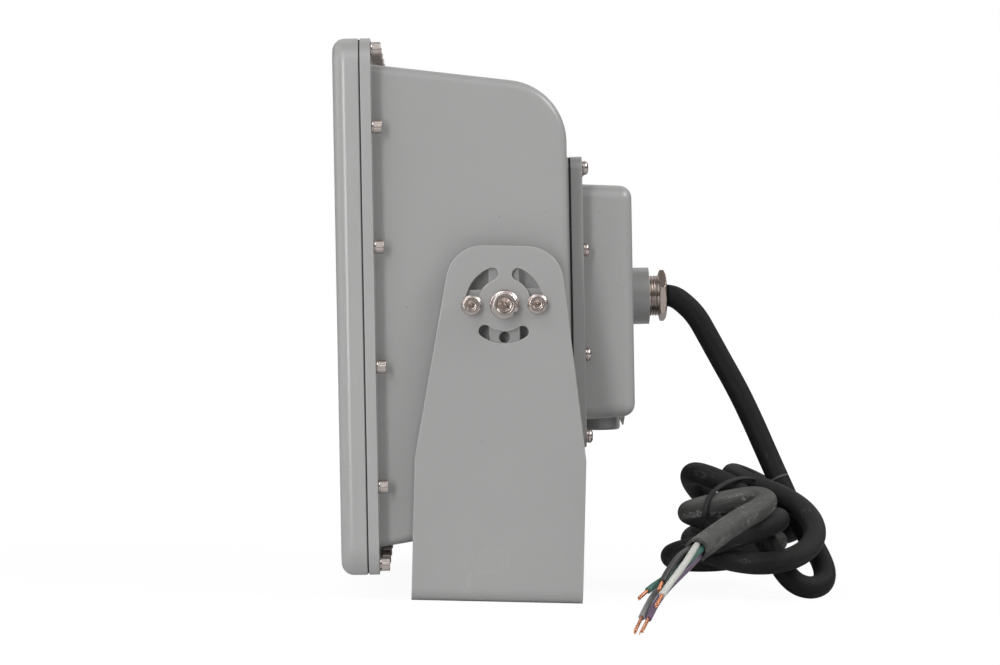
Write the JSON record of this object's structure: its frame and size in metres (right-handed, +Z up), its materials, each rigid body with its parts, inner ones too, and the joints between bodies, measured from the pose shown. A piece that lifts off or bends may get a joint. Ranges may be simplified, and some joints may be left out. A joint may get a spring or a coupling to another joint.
{
  "type": "hazardous location led light",
  "caption": "Cast LED floodlight with a bolted front door, tilting in a folded steel yoke, with a rear driver box, cable gland and free rubber cord.",
  "frame": {"origin": "centre of the yoke base's underside, on the axis of its centre hole", "axes": "+Z up, square to the base and opposite to its centre hole's axis, -Y the way the light faces at rest, X along the pivot"},
  "size_m": [0.6207, 0.3853, 0.4082],
  "materials": {
    "yoke_paint": "grey powder coat on folded steel, semi-gloss",
    "cast_paint": "grey powder coat on cast aluminium, semi-gloss, fine texture",
    "stainless": "bright stainless fasteners",
    "nickel": "nickel-plated brass",
    "black_rubber": "matt black seal rubber",
    "cord_rubber": "dusty, scuffed black cord jacket",
    "lens_glass": "clear tempered glass",
    "plain_steel": "zinc-plated steel",
    "tray_aluminium": "bright sheet aluminium",
    "board_white": "white solder-resist board",
    "led_yellow": "yellow phosphor",
    "optic_clear": "clear moulded optic",
    "driver_case": "plain driver case",
    "terminal_grey": "moulded terminal block",
    "lead_red": "insulated leads",
    "core_white": "white conductor insulation",
    "core_black": "black conductor insulation",
    "core_green": "green conductor insulation",
    "core_purple": "purple conductor insulation",
    "core_grey": "grey conductor insulation",
    "copper": "bare twisted copper strands",
    "tie_black": "black nylon tie"
  },
  "bodies": {
    "root": {"yoke_bracket": "yoke_paint"},
    "head": {"pivot_bolts": "stainless", "pivot_spring_washers": "stainless", "locking_bolts": "stainless", "locking_spring_washers": "stainless", "main_housing": "cast_paint", "front_door": "cast_paint", "door_gasket": "black_rubber", "door_screws": "stainless", "door_spring_washers": "stainless", "lens_gasket": "black_rubber", "glass_lens": "lens_glass", "lens_retainer": "tray_aluminium", "retainer_screws": "plain_steel", "led_plate": "tray_aluminium", "led_plate_screws": "plain_steel", "led_board_upper_left": "board_white", "led_board_upper_right": "board_white", "led_board_lower_left": "board_white", "led_board_lower_right": "board_white", "led_optic_upper_left": "optic_clear", "led_optic_upper_right": "optic_clear", "led_optic_lower_left": "optic_clear", "led_optic_lower_right": "optic_clear", "led_chips": "led_yellow", "driver_box": "cast_paint", "driver_box_gasket": "black_rubber", "driver_box_screws": "stainless", "driver_box_spring_washers": "stainless", "hub_plug": "cast_paint", "led_driver": "driver_case", "driver_screws": "plain_steel", "terminal_block": "terminal_grey", "terminal_screws": "plain_steel", "earth_screw": "plain_steel", "supply_leads": "lead_red", "led_leads": "lead_red", "gland_body": "nickel", "gland_seal": "black_rubber", "gland_nut": "nickel", "cord_entry": "cord_rubber", "power_cord": "cord_rubber", "cord_coil": "cord_rubber", "cord_tail": "cord_rubber", "cable_tie": "tie_black", "conductor_white": "core_white", "conductor_black": "core_black", "conductor_green": "core_green", "conductor_purple": "core_purple", "conductor_grey": "core_grey", "copper_ends": "copper"}
  },
  "joints": [
    {"name": "head_tilt", "type": "hinge", "parent": "root", "child": "head", "pos_m": [0, 0, 0.2173], "axis": [1, 0, 0], "range_deg": [-7.6, 2.8]}
  ]
}
